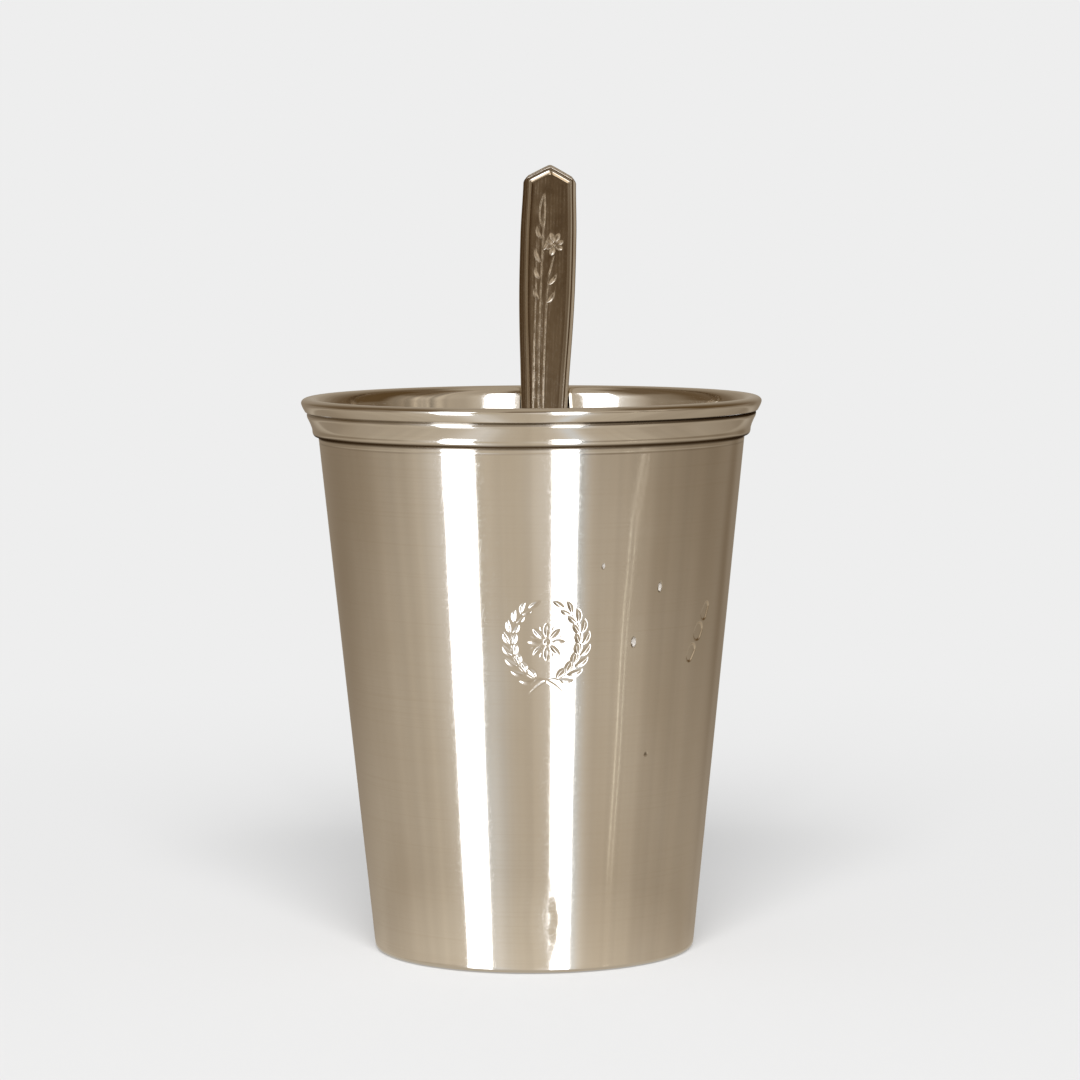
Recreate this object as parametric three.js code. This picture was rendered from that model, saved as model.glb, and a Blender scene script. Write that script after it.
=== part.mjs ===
// Silver tumbler with a moulded rim, and the small spoon that stands in it.
// Millimetres, +Z up, origin at the centre of the underside of the tumbler.

import * as THREE from "three";

// Tumbler
const cup_height = 84.2;
const rim_diameter = 70;
const base_diameter = 48.8;
const wall_thickness = 0.7;
const foot_radius = 1.0;

// Foot: the wall turns in under the bottom disc, which sits on that lip
const foot_lip_height = 0.7;
const foot_lip_width = 1.1;
const disc_thickness = 1.4;

// Rim moulding, from the top down: round lip, groove, cove, lower bead
const moulding_height = 5.8;
const lip_radius = 1.15;
const lip_overhang = 2.2;
const lip_seat_depth = 2.0;
const groove_below_top = 2.2;
const groove_width = 0.4;
const groove_web = 0.6;
const cove_overhang = 1.1;
const cove_bow = 1.6;
const bead_overhang = 0.52;
const bead_height = 0.9;

// One fine line scribed round the wall under the moulding
const scribe_drop = 0.95;
const scribe_width = 0.35;
const scribe_depth = 0.12;

// Spoon
const spoon_length = 127.6;
const bowl_length = 38;
const bowl_width = 23;
const bowl_depth = 5.5;
const bowl_thickness = 1.1;
const bowl_widest_from_tip = 21.3;
const heel_run = 11.4;
const tip_width = 1.2;
const neck_width = 4.4;
const neck_length = 12;
const neck_thickness = 2.6;
const handle_thickness = 1.8;
const handle_width = 9.1;
const handle_widest_from_end = 13;
const waist_width = 7.6;
const waist_from_end = 40;
const shoulder_width = 8.6;
const gable_rise = 2.6;
const stem_rise = 4.5;
const end_drop = 1.5;
const border_width = 0.9;
const panel_depth = 0.35;

// Where the spoon stands: the tip of its bowl, and its lean to one side
const tip_x = -0.5;
const tip_y = -1.0;
const spoon_lean = THREE.MathUtils.degToRad(1.8);

// Clearances
const fit_gap = 0.3;
const rest_gap = 0.3;

// Fineness
const round_steps = 72;
const arc_steps = 5;

const silver = {
  color: 0xb8a88f,
  metalness: 1,
  roughness: 0.22,
};

// Cone of the wall: outer and inner radius at a height
const rim_radius = rim_diameter / 2;
const base_radius = base_diameter / 2;
const seat_z = cup_height - lip_seat_depth;
const mouth_radius = rim_radius - lip_overhang;
const taper = (mouth_radius - base_radius) / seat_z;

function outerRadius(z) {
  return base_radius + taper * z;
}

function innerRadius(z) {
  return outerRadius(z) - wall_thickness;
}

// Points on a quarter or part of an ellipse, angles in degrees
function arc(centre_r, centre_z, half_r, half_z, from, to, steps) {
  const points = [];
  for (let i = 0; i <= steps; i += 1) {
    const angle = THREE.MathUtils.degToRad(from + ((to - from) * i) / steps);
    const r = centre_r + half_r * Math.cos(angle);
    const z = centre_z + half_z * Math.sin(angle);
    points.push(new THREE.Vector2(r, z));
  }
  return points;
}

function point(r, z) {
  return new THREE.Vector2(r, z);
}

function turned(name, profile) {
  const geometry = new THREE.LatheGeometry(profile, round_steps);
  geometry.rotateX(Math.PI / 2);
  const mesh = new THREE.Mesh(geometry, new THREE.MeshStandardMaterial(silver));
  mesh.name = name;
  return mesh;
}

// Tapered wall with the turned-in foot, drawn round its section anticlockwise
const foot_lip_radius = innerRadius(foot_lip_height) - foot_lip_width;
const moulding_foot_z = cup_height - moulding_height;
const scribe_z = moulding_foot_z - scribe_drop;

function wallSection() {
  const edge_r = outerRadius(foot_radius) - foot_radius;
  const scribe_low = scribe_z - scribe_width / 2;
  const scribe_high = scribe_z + scribe_width / 2;
  const section = [
    point(foot_lip_radius, 0),
    ...arc(edge_r, foot_radius, foot_radius, foot_radius, -90, 0, arc_steps),
    point(outerRadius(scribe_low), scribe_low),
    point(outerRadius(scribe_z) - scribe_depth, scribe_z),
    point(outerRadius(scribe_high), scribe_high),
    point(outerRadius(seat_z), seat_z),
    point(innerRadius(seat_z), seat_z),
    point(innerRadius(foot_lip_height), foot_lip_height),
    point(foot_lip_radius, foot_lip_height),
  ];
  section.push(section[0].clone());
  return section;
}

// Bottom disc: a plug flush with the foot, and a flange that sits on the turned-in lip
function discSection() {
  const plug_radius = foot_lip_radius - fit_gap;
  const flange_radius = innerRadius(foot_lip_height) - fit_gap;
  return [
    point(0, 0),
    point(plug_radius, 0),
    point(plug_radius, foot_lip_height),
    point(flange_radius, foot_lip_height),
    point(flange_radius, disc_thickness),
    point(0, disc_thickness),
  ];
}

// Rim moulding: a skirt round the outside of the wall, seated on the end of the wall
function skirtRadius(z) {
  return outerRadius(z) + fit_gap;
}

function rimSection() {
  const lip_r = rim_radius - lip_radius;
  const lip_z = cup_height - lip_radius;
  const groove_z = cup_height - groove_below_top;
  const groove_high = groove_z + groove_width / 2;
  const groove_low = groove_z - groove_width / 2;
  const lip_end = THREE.MathUtils.radToDeg(Math.asin((groove_high - lip_z) / lip_radius));
  const bead_top = moulding_foot_z + bead_height;
  const cove_high_r = skirtRadius(groove_low) + cove_overhang;
  const cove_low_r = skirtRadius(bead_top) + bead_overhang;
  const throat = lip_r - innerRadius(seat_z);
  const section = [
    point(skirtRadius(moulding_foot_z), moulding_foot_z),
    ...arc(skirtRadius(bead_top), bead_top, bead_overhang, bead_height, -85, 0, arc_steps),
  ];
  for (let i = 1; i <= arc_steps; i += 1) {
    const rise = i / arc_steps;
    const z = bead_top + (groove_low - bead_top) * rise;
    section.push(point(cove_low_r + (cove_high_r - cove_low_r) * rise ** cove_bow, z));
  }
  section.push(
    point(skirtRadius(groove_z) + groove_web, groove_z),
    ...arc(lip_r, lip_z, lip_radius, lip_radius, lip_end, 90, 2 * arc_steps),
    ...arc(lip_r, seat_z, throat, lip_seat_depth, 90, 180, arc_steps).slice(1),
    point(skirtRadius(seat_z), seat_z),
  );
  section.push(section[0].clone());
  return section;
}

// A smooth curve through given [position, value] pairs that never overshoots them
function smoothThrough(pairs) {
  const slopes = pairs.map((pair, i) => {
    if (i === 0 || i === pairs.length - 1) {
      return 0;
    }
    const before = (pair[1] - pairs[i - 1][1]) / (pair[0] - pairs[i - 1][0]);
    const after = (pairs[i + 1][1] - pair[1]) / (pairs[i + 1][0] - pair[0]);
    return before * after > 0 ? (2 * before * after) / (before + after) : 0;
  });
  return (position) => {
    const s = THREE.MathUtils.clamp(position, pairs[0][0], pairs[pairs.length - 1][0]);
    let k = 0;
    while (k < pairs.length - 2 && s > pairs[k + 1][0]) {
      k += 1;
    }
    const span = pairs[k + 1][0] - pairs[k][0];
    const t = (s - pairs[k][0]) / span;
    const from = pairs[k][1] + slopes[k] * span * t;
    const to = pairs[k + 1][1] - slopes[k + 1] * span * (1 - t);
    return from + (to - from) * THREE.MathUtils.smoothstep(t, 0, 1);
  };
}

// Spoon, in its own space: X across, Y along from the tip of the bowl, Z to the face of the handle
const tip_bow = 1.7;
const tip_fullness = 0.8;
const heel_bow = 2.2;
const heel_fullness = 0.62;
const hollow_bow = 2.3;
const back_rounding = 0.45;
const stem_start = bowl_length - heel_run;
const neck_end = bowl_length + neck_length;
const waist_at = spoon_length - waist_from_end;
const shoulder_at = spoon_length - gable_rise;

const stemHalfWidth = smoothThrough([
  [stem_start, 0],
  [bowl_length, neck_width / 2],
  [neck_end, neck_width / 2],
  [waist_at, waist_width / 2],
  [spoon_length - handle_widest_from_end, handle_width / 2],
  [shoulder_at, shoulder_width / 2],
]);

const midHeight = smoothThrough([
  [0, 0],
  [stem_start, 0],
  [neck_end, stem_rise / 2],
  [waist_at, stem_rise],
  [spoon_length, stem_rise - end_drop],
]);

const thickness = smoothThrough([
  [0, bowl_thickness],
  [stem_start, bowl_thickness],
  [neck_end, neck_thickness],
  [waist_at, handle_thickness],
  [spoon_length, handle_thickness],
]);

const panelFade = smoothThrough([
  [neck_end, 0],
  [neck_end + neck_length, 1],
]);

// Pointed oval outline of the bowl, joined smoothly to the stem
function halfWidth(s) {
  const before = Math.max(1 - s / bowl_widest_from_tip, 0);
  const after = Math.max((s - bowl_widest_from_tip) / (bowl_length - bowl_widest_from_tip), 0);
  const toward_tip = (1 - before ** tip_bow) ** tip_fullness;
  const toward_neck = Math.max(1 - after ** heel_bow, 0) ** heel_fullness;
  const bowl = (bowl_width / 2) * toward_tip * toward_neck;
  const half = (bowl ** 4 + stemHalfWidth(s) ** 4) ** 0.25;
  return Math.max(half, tip_width / 2);
}

function hollow(s, u) {
  const t = THREE.MathUtils.clamp(s / bowl_length, 0, 1);
  const along = 1 - Math.abs(2 * t - 1) ** hollow_bow;
  return bowl_depth * along * (1 - Math.abs(u) ** hollow_bow);
}

function backHeight(s, u) {
  const rounded = 1 - back_rounding * Math.abs(u) ** 3;
  return midHeight(s) - hollow(s, u) - (thickness(s) / 2) * rounded;
}

// Face of the spoon: flat, with a raised border at the edge of the handle
const border_marks = [0, 0.3, 0.62, 1].map((mark) => mark * border_width);
const border_relief = [0.6, 0, 0, 1].map((depth) => depth * panel_depth);

function faceHeight(s, u, marks_in) {
  const relief = border_relief[Math.min(marks_in, border_relief.length - 1)];
  return midHeight(s) - hollow(s, u) + thickness(s) / 2 - relief * panelFade(s);
}

// Rows run across the spoon; those near the end of the handle follow its gable
const gable_slope = gable_rise / (shoulder_width / 2);
const gable_stretch = Math.hypot(1, gable_slope);
const gable_fade = 12;
const bowl_rows = 14;
const stem_rows = 20;

function rowPositions() {
  const last_row = border_marks[border_marks.length - 1] * gable_stretch;
  const stem_length = spoon_length - last_row - bowl_length;
  const rows = [];
  for (let i = 0; i < bowl_rows; i += 1) {
    rows.push({ at: bowl_length * (i / bowl_rows) ** 1.25, marks: border_marks.length });
  }
  for (let i = 0; i < stem_rows; i += 1) {
    rows.push({ at: bowl_length + (stem_length * i) / stem_rows, marks: border_marks.length });
  }
  for (let k = border_marks.length - 1; k >= 0; k -= 1) {
    rows.push({ at: spoon_length - border_marks[k] * gable_stretch, marks: k });
  }
  return rows;
}

const inner_columns = [0.68, 0.34];

function columnsFor(half) {
  const squeeze = Math.min(1, (0.6 * half) / border_width);
  const panel = half - border_width * squeeze;
  const side = border_marks.map((mark, k) => ({ x: half - mark * squeeze, marks: k }));
  inner_columns.forEach((part) => side.push({ x: panel * part, marks: side.length }));
  const left = side.map((column) => ({ x: -column.x, marks: column.marks }));
  return [...left, { x: 0, marks: side.length }, ...side.reverse()];
}

function spoonGeometry() {
  const positions = [];
  const rows = rowPositions();
  rows.forEach((row) => {
    const chevron = THREE.MathUtils.smoothstep(row.at, spoon_length - gable_fade, shoulder_at);
    const drop = chevron * gable_slope;
    const half = halfWidth(row.at - drop * halfWidth(row.at));
    const columns = columnsFor(half);
    const face = [];
    const back = [];
    columns.forEach((column) => {
      const u = column.x / half;
      const s = row.at - drop * Math.abs(column.x);
      const marks = Math.min(row.marks, column.marks);
      face.push([column.x, s, faceHeight(s, u, marks)]);
      back.push([column.x, s, backHeight(s, u)]);
    });
    positions.push(...face, ...back.reverse());
  });

  const loop = positions.length / rows.length;
  const across = loop / 2;
  const triangles = [];
  const quad = (a, b, c, d) => triangles.push(a, b, c, a, c, d);
  for (let i = 0; i + 1 < rows.length; i += 1) {
    for (let j = 0; j < loop; j += 1) {
      const next = (j + 1) % loop;
      quad(i * loop + j, i * loop + next, (i + 1) * loop + next, (i + 1) * loop + j);
    }
  }
  const end = (rows.length - 1) * loop;
  for (let j = 0; j + 1 < across; j += 1) {
    const below = loop - 1 - j;
    quad(j, below, below - 1, j + 1);
    quad(end + j, end + j + 1, end + below - 1, end + below);
  }

  const geometry = new THREE.BufferGeometry();
  geometry.setAttribute("position", new THREE.Float32BufferAttribute(positions.flat(), 3));
  geometry.setIndex(triangles);
  geometry.computeVertexNormals();
  return geometry;
}

// The spoon leans back until its handle is rest_gap from the lip, its tip rest_gap above the disc
const lean_samples = 300;
const lean_halvings = 24;
const steepest_lean = Math.PI / 4;
const back_samples = [];
for (let i = 0; i <= lean_samples; i += 1) {
  const s = (shoulder_at * i) / lean_samples;
  [-1, -0.6, 0, 0.6, 1].forEach((u) => {
    back_samples.push(new THREE.Vector3(u * halfWidth(s), s, backHeight(s, u)));
  });
}

function spoonTurn(tilt) {
  return new THREE.Euler(Math.PI / 2 - tilt, spoon_lean, 0, "YXZ");
}

function spoonPlace(tilt) {
  const tip = new THREE.Vector3(0, 0, midHeight(0)).applyEuler(spoonTurn(tilt));
  const heights = back_samples.map((sample) => sample.clone().applyEuler(spoonTurn(tilt)).z);
  const floor = disc_thickness + rest_gap;
  return new THREE.Vector3(tip_x - tip.x, tip_y - tip.y, floor - Math.min(...heights));
}

function gapToRim(tilt, outline) {
  const place = spoonPlace(tilt);
  const nearest = new THREE.Vector2();
  let gap = Infinity;
  back_samples.forEach((sample) => {
    const at = sample.clone().applyEuler(spoonTurn(tilt)).add(place);
    const here = new THREE.Vector2(Math.hypot(at.x, at.y), at.z);
    const beyond = at.y > 0 && here.x > mouth_radius && here.y < cup_height;
    for (let i = 0; i + 1 < outline.length; i += 1) {
      const side = outline[i + 1].clone().sub(outline[i]);
      const t = here.clone().sub(outline[i]).dot(side) / side.lengthSq();
      nearest.copy(outline[i]).addScaledVector(side, THREE.MathUtils.clamp(t, 0, 1));
      gap = Math.min(gap, beyond ? 0 : nearest.distanceTo(here));
    }
  });
  return gap;
}

function leaningTilt() {
  const outline = rimSection();
  let low = 0;
  let high = steepest_lean;
  for (let i = 0; i < lean_halvings; i += 1) {
    const middle = (low + high) / 2;
    if (gapToRim(middle, outline) > rest_gap) {
      low = middle;
    } else {
      high = middle;
    }
  }
  return low;
}

const tumbler = new THREE.Group();
tumbler.add(turned("cup_wall", wallSection()));
tumbler.add(turned("base_disc", discSection()));
tumbler.add(turned("rim_moulding", rimSection()));

const tilt = leaningTilt();
const spoon = new THREE.Mesh(spoonGeometry(), new THREE.MeshStandardMaterial(silver));
spoon.name = "spoon";
spoon.rotation.copy(spoonTurn(tilt));
spoon.position.copy(spoonPlace(tilt));

const set = new THREE.Group();
set.add(tumbler, spoon);

export default set;
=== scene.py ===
"""Silver tumbler with its spoon: dressed pieces, silver finishes, studio and camera."""

import math
from types import SimpleNamespace

import bpy
import numpy as np
from mathutils import Matrix, Vector


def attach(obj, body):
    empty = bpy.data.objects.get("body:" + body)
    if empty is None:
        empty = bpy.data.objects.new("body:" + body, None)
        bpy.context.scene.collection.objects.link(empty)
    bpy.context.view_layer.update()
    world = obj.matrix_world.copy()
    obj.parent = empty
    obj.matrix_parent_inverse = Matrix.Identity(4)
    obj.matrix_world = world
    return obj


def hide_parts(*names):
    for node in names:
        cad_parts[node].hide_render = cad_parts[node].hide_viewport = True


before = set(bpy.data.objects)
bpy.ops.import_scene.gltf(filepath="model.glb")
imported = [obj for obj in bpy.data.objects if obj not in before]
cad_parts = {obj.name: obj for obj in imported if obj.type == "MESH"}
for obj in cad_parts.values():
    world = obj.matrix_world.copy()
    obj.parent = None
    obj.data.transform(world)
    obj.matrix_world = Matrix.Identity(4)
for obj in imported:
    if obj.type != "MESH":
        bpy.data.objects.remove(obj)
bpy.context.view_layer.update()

MM = 0.001

# Sizes of the tumbler in millimetres, as in the solids
CUP_HEIGHT = 84.2
RIM_RADIUS = 35.0
BASE_RADIUS = 24.4
WALL = 0.7
FOOT_LIP_HEIGHT = 0.7
FOOT_LIP_WIDTH = 1.1
DISC_THICKNESS = 1.4
MOULDING_HEIGHT = 5.8
LIP_RADIUS = 1.15
LIP_OVERHANG = 2.2
LIP_SEAT_DEPTH = 2.0
GROOVE_BELOW_TOP = 2.2
BEAD_OVERHANG = 0.52
BEAD_HEIGHT = 0.9
SCRIBE_DROP = 0.95
FIT_GAP = 0.3

# Sizes that follow the photograph more closely than the solids
FOOT_RADIUS = 0.6
THROAT_ROUND = 2.15
SHOULDER_ROUND = 0.72
COVE_BOW = 1.4
SCRIBE_DEPTH = 0.015
SCRIBE_HALF = 0.2

SEAT_Z = CUP_HEIGHT - LIP_SEAT_DEPTH
MOULDING_FOOT = CUP_HEIGHT - MOULDING_HEIGHT
SCRIBE_Z = MOULDING_FOOT - SCRIBE_DROP
TAPER = (RIM_RADIUS - LIP_OVERHANG - BASE_RADIUS) / SEAT_Z


def outer_radius(z):
    return BASE_RADIUS + TAPER * z


def inner_radius(z):
    return outer_radius(z) - WALL


FOOT_LIP = inner_radius(FOOT_LIP_HEIGHT) - FOOT_LIP_WIDTH


# Mesh helpers

def make_piece(name, points, faces, body, node, material, sharp=40):
    mesh = bpy.data.meshes.new(name)
    mesh.from_pydata(points.tolist(), [], faces)
    mesh.update()
    mesh.shade_smooth()
    mesh.set_sharp_from_angle(angle=math.radians(sharp))
    piece = bpy.data.objects.new(name, mesh)
    bpy.context.scene.collection.objects.link(piece)
    mesh.materials.append(material)
    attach(piece, body)
    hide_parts(node)
    return piece


def point_values(piece, name, values):
    layer = piece.data.attributes.new(name, "FLOAT", "POINT")
    layer.data.foreach_set("value", np.asarray(values, dtype=np.float32).ravel())


def own_places(piece, points):
    layer = piece.data.attributes.new("own", "FLOAT_VECTOR", "POINT")
    layer.data.foreach_set("vector", np.asarray(points, dtype=np.float32).ravel())


def eased(share):
    """A smooth step from 0 to 1."""
    return share * share * (3 - 2 * share)


def arc(centre_r, centre_z, half_r, half_z, start, stop, steps):
    angles = np.radians(np.linspace(start, stop, steps + 1))
    return [(centre_r + half_r * math.cos(a), centre_z + half_z * math.sin(a)) for a in angles]


def turn(section, angles):
    """Points (columns by rows) and quads of a closed section turned about the axis."""
    section = np.asarray(section)
    columns = np.asarray(angles)[:, None]
    x = np.sin(columns) * section[:, 0]
    y = -np.cos(columns) * section[:, 0]
    z = np.broadcast_to(section[:, 1], x.shape)
    points = np.stack([x, y, z], axis=-1)
    return points, ring_faces(*x.shape)


def tube_faces(rows, count):
    """Quads between rows of points that go round a tube."""
    faces = []
    for i in range(rows - 1):
        here, there = i * count, (i + 1) * count
        for j in range(count):
            k = (j + 1) % count
            faces.append((here + j, here + k, there + k, there + j))
    return faces


def ring_faces(columns, rows):
    faces = []
    for i in range(columns):
        here, there = i * rows, ((i + 1) % columns) * rows
        for j in range(rows):
            k = (j + 1) % rows
            faces.append((here + j, there + j, there + k, here + k))
    return faces


# Drawn strokes, for the wreath, the punches and the sprig

def bend(start, control, stop, count=12):
    t = np.linspace(0, 1, count)[:, None]
    a, b, c = (np.asarray(p, dtype=float) for p in (start, control, stop))
    return (1 - t) ** 2 * a + 2 * t * (1 - t) * b + t ** 2 * c


def leaf(path, half):
    t = np.linspace(0, 1, len(path))
    return path, half * np.sin(np.pi * np.clip(t, 0.02, 0.98)) ** 0.75


def line(path, start, stop):
    return path, np.linspace(start, stop, len(path))


def dot(centre, half):
    return line(centre + np.array([[0.0, -0.02], [0.0, 0.02]]), half, half)


def stroke_field(x, y, strokes, profile):
    """Strongest value of all strokes at each place, by profile(distance, half width)."""
    field = np.zeros_like(x)
    for path, half in strokes:
        low = path.min(axis=0) - half.max()
        high = path.max(axis=0) + half.max()
        near = (x > low[0]) & (x < high[0]) & (y > low[1]) & (y < high[1])
        if not near.any():
            continue
        px, py = x[near], y[near]
        best = np.zeros_like(px)
        for i in range(len(path) - 1):
            ax, ay = path[i]
            dx, dy = path[i + 1] - path[i]
            t = np.clip(((px - ax) * dx + (py - ay) * dy) / (dx * dx + dy * dy), 0, 1)
            distance = np.hypot(px - ax - t * dx, py - ay - t * dy)
            width = half[i] + t * (half[i + 1] - half[i])
            best = np.maximum(best, profile(distance, width))
        field[near] = np.maximum(field[near], best)
    return field


def mirrored(strokes):
    return strokes + [(path * [-1, 1], half) for path, half in strokes]


# Shader nodes

class Graph:
    """Short calls that add nodes to one material or world."""

    def __init__(self, tree):
        self.tree = tree

    def node(self, kind, **settings):
        node = self.tree.nodes.new("ShaderNode" + kind)
        for name, value in settings.items():
            setattr(node, name, value)
        return node

    def feed(self, socket, value):
        """Links a socket to an output, or gives it a colour or a number."""
        if isinstance(value, bpy.types.NodeSocket):
            self.tree.links.new(value, socket)
        elif isinstance(value, tuple):
            socket.default_value = (*value, 1)
        else:
            socket.default_value = value

    def add(self, kind, *inputs, **settings):
        """Adds a node, feeds its first inputs in their order and returns its outputs."""
        node = self.node(kind, **settings)
        for socket, value in zip(node.inputs, inputs):
            self.feed(socket, value)
        return node.outputs

    def maths(self, operation, *values):
        return self.add("Math", *values, operation=operation)[0]

    def ranged(self, value, low, high, to_low, to_high, kind="LINEAR"):
        numbers = (value, low, high, to_low, to_high)
        return self.add("MapRange", *numbers, interpolation_type=kind)["Result"]

    def eased(self, *numbers):
        return self.ranged(*numbers, kind="SMOOTHSTEP")

    def mixed(self, factor, first, second):
        node = self.node("Mix", data_type="RGBA")
        self.feed(node.inputs["Factor"], factor)
        self.feed(node.inputs[6], first)
        self.feed(node.inputs[7], second)
        return node.outputs[2]

    def blend(self, factor, first, second):
        """A number that goes from the first to the second."""
        change = self.maths("MULTIPLY", factor, self.maths("SUBTRACT", second, first))
        return self.maths("ADD", first, change)

    def hill(self, angle, centre, half):
        """1 at the centre, less on both sides; centre and half width in degrees."""
        away = self.maths("SUBTRACT", angle, math.radians(centre))
        away = self.maths("DIVIDE", away, math.radians(half))
        square = self.maths("MULTIPLY", away, away)
        return self.maths("POWER", math.e, self.maths("MULTIPLY", square, -1.0))

    def place(self):
        return self.node("TexCoord").outputs["Object"]

    def emission(self, colour, strength=1.0):
        return self.add("Emission", colour, strength)[0]

    def surface(self, shader):
        output = next(node for node in self.tree.nodes if node.type.startswith("OUTPUT"))
        self.feed(output.inputs["Surface"], shader)


# Silver

TONE = (0.85, 0.80, 0.715)
TARNISH = (0.75, 0.675, 0.56)
DEEP_TARNISH = (0.6, 0.52, 0.41)
DULL = (0.14, 0.1, 0.06)
BROWN = (0.26, 0.175, 0.09)
RUBBED_SHEEN_TONE = (0.93, 0.79, 0.6)
WHITE = (1.0, 1.0, 1.0)

# Cells of the patterns per metre, along the own axes of a piece
CLOUD_CELLS = (55, 55, 55)
GRAIN_CELLS = (2600, 2600, 2600)
RING_CELLS = (30, 30, 3400)
WALL_STREAKS = (110, 110, 16)
BASE_STREAKS = (70, 70, 70)
SPOON_STREAKS = (1700, 110, 1700)

# Hairlines: how they are turned, in degrees, and their cells per metre across and along
HAIR_CELLS = 5200
HAIRS = [((14, 8, 0), 210), ((70, 20, 35), 260), ((60, -40, 100), 330)]
HAIR_ROUGH = 0.05

# Roughness that soil and painted shade, thick soil and scuffs add
SOIL_ROUGH = 0.06
CAKED_FROM = 0.76
CAKED = 0.3
SCUFF_ROUGH = 0.3

# Bump of the grain and the hairlines
GRAIN_RELIEF = 0.25
RELIEF_HEIGHT = 0.000001


def silver(name, tarnish, dull, rough, streak_cells, streak_depth, ring_depth, relief, caked=0.0):
    """Worn polished silver; streaks and rings are faint lines of another tone."""
    material = bpy.data.materials.new(name)
    material.use_nodes = True
    graph = Graph(material.node_tree)
    maths, ranged, mixed = graph.maths, graph.ranged, graph.mixed
    surface = material.node_tree.nodes["Principled BSDF"].inputs
    surface["Metallic"].default_value = 1.0

    own = graph.node("Attribute", attribute_name="own").outputs["Vector"]
    soil_and_shade, scuff, rub_and_sheen = (graph.node("Attribute", attribute_name=label).outputs["Fac"]
                        for label in ("soil_and_shade", "scuff", "rub_and_sheen"))

    def noise(cells, detail, turned=(0, 0, 0)):
        mapping = graph.node("Mapping", vector_type="TEXTURE")
        mapping.inputs["Rotation"].default_value = [math.radians(a) for a in turned]
        mapping.inputs["Scale"].default_value = [1 / c for c in cells]
        graph.feed(mapping.inputs["Vector"], own)
        pattern = graph.node("TexNoise")
        pattern.inputs["Scale"].default_value = 1.0
        pattern.inputs["Detail"].default_value = detail
        graph.feed(pattern.inputs["Vector"], mapping.outputs["Vector"])
        return pattern.outputs["Fac"]

    cloud, grain = noise(CLOUD_CELLS, 4), noise(GRAIN_CELLS, 2)
    streak, rings = noise(streak_cells, 3), noise(RING_CELLS, 2)
    hairs = None
    for turned, along in HAIRS:
        hair = ranged(noise((HAIR_CELLS, HAIR_CELLS, along), 0, turned), 0.68, 0.78, 0, 1)
        hairs = hair if hairs is None else maths("MAXIMUM", hairs, hair)

    colour = mixed(ranged(cloud, 0.35, 0.75, 0, 0.5), TONE, tarnish)
    colour = mixed(ranged(streak, 0.4, 0.7, 0, streak_depth), colour, tarnish)
    colour = mixed(ranged(rings, 0.5, 0.75, 0, ring_depth), colour, tarnish)
    # Soil attribute: real tarnish in cuts, nicks, the pit and seams, and painted shade under the
    # moulding, in the rim groove and on the handle; it darkens the colour and the specular tint
    colour = mixed(soil_and_shade, colour, dull)
    # Rub attribute: a painted warm sheen and glints on the sprig, the punch walls and the rubbed
    # lines, where the lines are also real wear
    colour = mixed(rub_and_sheen, colour, RUBBED_SHEEN_TONE)
    graph.feed(surface["Base Color"], colour)
    graph.feed(surface["Specular Tint"], mixed(soil_and_shade, WHITE, dull))

    wear = ranged(cloud, 0.3, 0.7, rough * 0.8, rough * 1.15)
    for more in (ranged(grain, 0.4, 0.7, 0, rough * 0.4), maths("MULTIPLY", hairs, HAIR_ROUGH),
                 ranged(soil_and_shade, 0, 1, 0, SOIL_ROUGH), ranged(soil_and_shade, CAKED_FROM, 1, 0, caked),
                 ranged(scuff, 0, 1, 0, SCUFF_ROUGH)):
        wear = maths("ADD", wear, more)
    graph.feed(surface["Roughness"], wear)

    bump = graph.node("Bump")
    bump.inputs["Strength"].default_value = relief
    bump.inputs["Distance"].default_value = RELIEF_HEIGHT
    height = maths("SUBTRACT", maths("MULTIPLY", grain, GRAIN_RELIEF), hairs)
    graph.feed(bump.inputs["Height"], height)
    graph.feed(surface["Normal"], bump.outputs["Normal"])
    return material


wall_silver = silver("wall_silver", TARNISH, DULL, 0.065, WALL_STREAKS, 0.4, 0.23, 0.16, CAKED)
rim_silver = silver("rim_silver", TARNISH, DULL, 0.075, WALL_STREAKS, 0.4, 0.23, 0.16, CAKED)
base_silver = silver("base_silver", TARNISH, DULL, 0.14, BASE_STREAKS, 0.4, 0.0, 0.4)
spoon_silver = silver("spoon_silver", DEEP_TARNISH, BROWN, 0.085, SPOON_STREAKS, 0.6, 0.0, 0.045)


# Wall: a cut wreath on the front, punches, nicks and a pit on its right, a dent near the foot and
# one scribed line under the rim. Lengths in millimetres, bearings from the front to the right.

ORNAMENT_AT = math.radians(4.0)
ORNAMENT_Z = 49.8
ORNAMENT_REACH = 8.0
CUT_SLOPE = 0.36
WREATH_RADIUS = 5.2
WREATH_STRETCH = 1.1
WREATH_CENTRE = np.array([0.0, 0.1])
WREATH_END = 150
LEAF_STEP = 17
PETALS = 16

# Small nicks: bearing in degrees, height, half width, half height
NICKS = [(19.9, 60.9, 0.24, 0.4), (38.4, 57.3, 0.36, 0.75), (30.3, 49.4, 0.44, 0.8)]
# The bearing that their facets mirror, and the slope of the other side
NICK_FACES = 9.3
NICK_STEEP = 1.4

# One dark pit: bearing in degrees, height, radius
PIT = (36.9, 32.4, 0.4)
PIT_SLOPE = 0.25

# Three blank punch marks in a slanting row: where the middle one is, and for each its place in
# the row, half length and half width at both ends
PUNCHES_AT = math.radians(56.8)
PUNCHES_Z = 49.9
PUNCH_ROW = np.array([0.46, 0.89])
PUNCHES = [(-3.5, 0.6, 0.8, 0.95), (0.0, 0.35, 1.1, 1.1), (3.4, 0.65, 0.9, 0.75)]
PUNCH_SLOPE = 0.75
PUNCH_DEPTH = 0.15
# Strength of the painted sheen on the punch walls, which also roughens them
PUNCH_SHEEN = 2.8

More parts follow.
